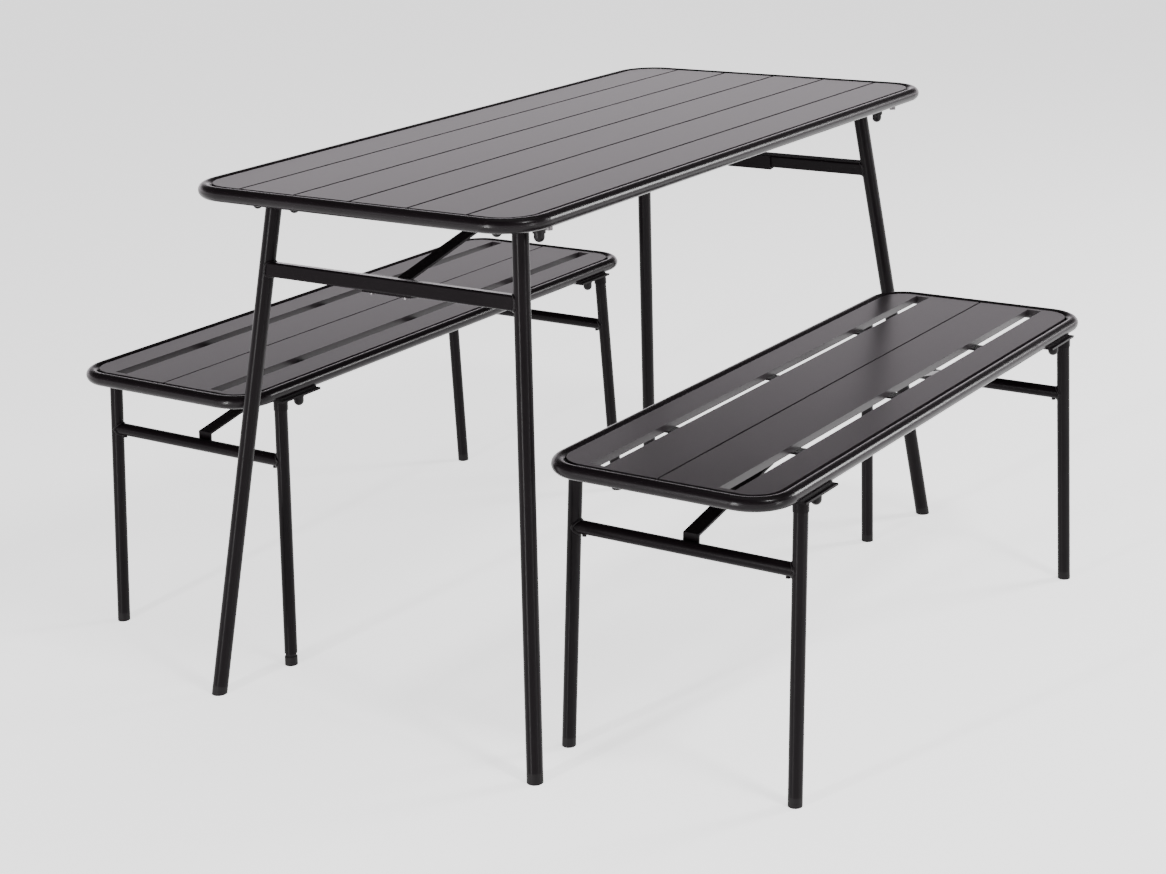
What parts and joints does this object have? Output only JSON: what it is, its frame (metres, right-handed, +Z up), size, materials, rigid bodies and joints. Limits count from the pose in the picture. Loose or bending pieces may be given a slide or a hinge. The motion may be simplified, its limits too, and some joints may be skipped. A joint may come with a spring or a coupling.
{
  "type": "picnic table",
  "caption": "Slim metal picnic table with splayed tube legs and a matching bench on either side, dark painted, slatted tops in rounded tube rims.",
  "frame": {"origin": "on the floor, under the middle of the table and of the whole set", "axes": "+Z up, +X across the set towards the right bench, +Y along the table away from its front end"},
  "size_m": [1.1986, 1.1834, 0.73],
  "materials": {
    "frame_coat": "satin powder coat, warm near-black",
    "slat_coat": "satin powder coat, dark anthracite",
    "foot_rubber": "matt",
    "cap_plastic": "satin",
    "fixing_steel": "dark zinc"
  },
  "bodies": {
    "table": {"table_rim": "frame_coat", "table_slat_1": "slat_coat", "table_slat_2": "slat_coat", "table_slat_3": "slat_coat", "table_slat_4": "slat_coat", "table_slat_5": "slat_coat", "table_slat_6": "slat_coat", "table_cross_members": "frame_coat", "table_leg_plates": "frame_coat", "table_nut_caps": "cap_plastic", "table_rim_screws": "fixing_steel", "table_front_legs": "frame_coat", "table_front_crossbar": "frame_coat", "table_front_foot_caps": "foot_rubber", "table_front_brace": "frame_coat", "table_rear_legs": "frame_coat", "table_rear_crossbar": "frame_coat", "table_rear_foot_caps": "foot_rubber", "table_rear_brace": "frame_coat", "table_brace_screws": "fixing_steel"},
    "right_bench": {"right_bench_rim": "frame_coat", "right_bench_slat_1": "slat_coat", "right_bench_slat_2": "slat_coat", "right_bench_slat_3": "slat_coat", "right_bench_slat_4": "slat_coat", "right_bench_slot_ends": "slat_coat", "right_bench_cross_members": "frame_coat", "right_bench_leg_plates": "frame_coat", "right_bench_nut_caps": "cap_plastic", "right_bench_front_legs": "frame_coat", "right_bench_front_crossbar": "frame_coat", "right_bench_front_foot_caps": "foot_rubber", "right_bench_front_brace": "frame_coat", "right_bench_rear_legs": "frame_coat", "right_bench_rear_crossbar": "frame_coat", "right_bench_rear_foot_caps": "foot_rubber", "right_bench_rear_brace": "frame_coat", "right_bench_brace_screws": "fixing_steel"},
    "left_bench": {"left_bench_rim": "frame_coat", "left_bench_slat_1": "slat_coat", "left_bench_slat_2": "slat_coat", "left_bench_slat_3": "slat_coat", "left_bench_slat_4": "slat_coat", "left_bench_slot_ends": "slat_coat", "left_bench_cross_members": "frame_coat", "left_bench_leg_plates": "frame_coat", "left_bench_nut_caps": "cap_plastic", "left_bench_front_legs": "frame_coat", "left_bench_front_crossbar": "frame_coat", "left_bench_front_foot_caps": "foot_rubber", "left_bench_front_brace": "frame_coat", "left_bench_rear_legs": "frame_coat", "left_bench_rear_crossbar": "frame_coat", "left_bench_rear_foot_caps": "foot_rubber", "left_bench_rear_brace": "frame_coat", "left_bench_brace_screws": "fixing_steel"}
  },
  "joints": [
    {"name": "right_bench_slide", "type": "slide", "parent": "table", "child": "right_bench", "axis": [1, 0, 0], "range_m": [0, 0.3]},
    {"name": "left_bench_slide", "type": "slide", "parent": "table", "child": "left_bench", "axis": [-1, 0, 0], "range_m": [0, 0.3]}
  ]
}
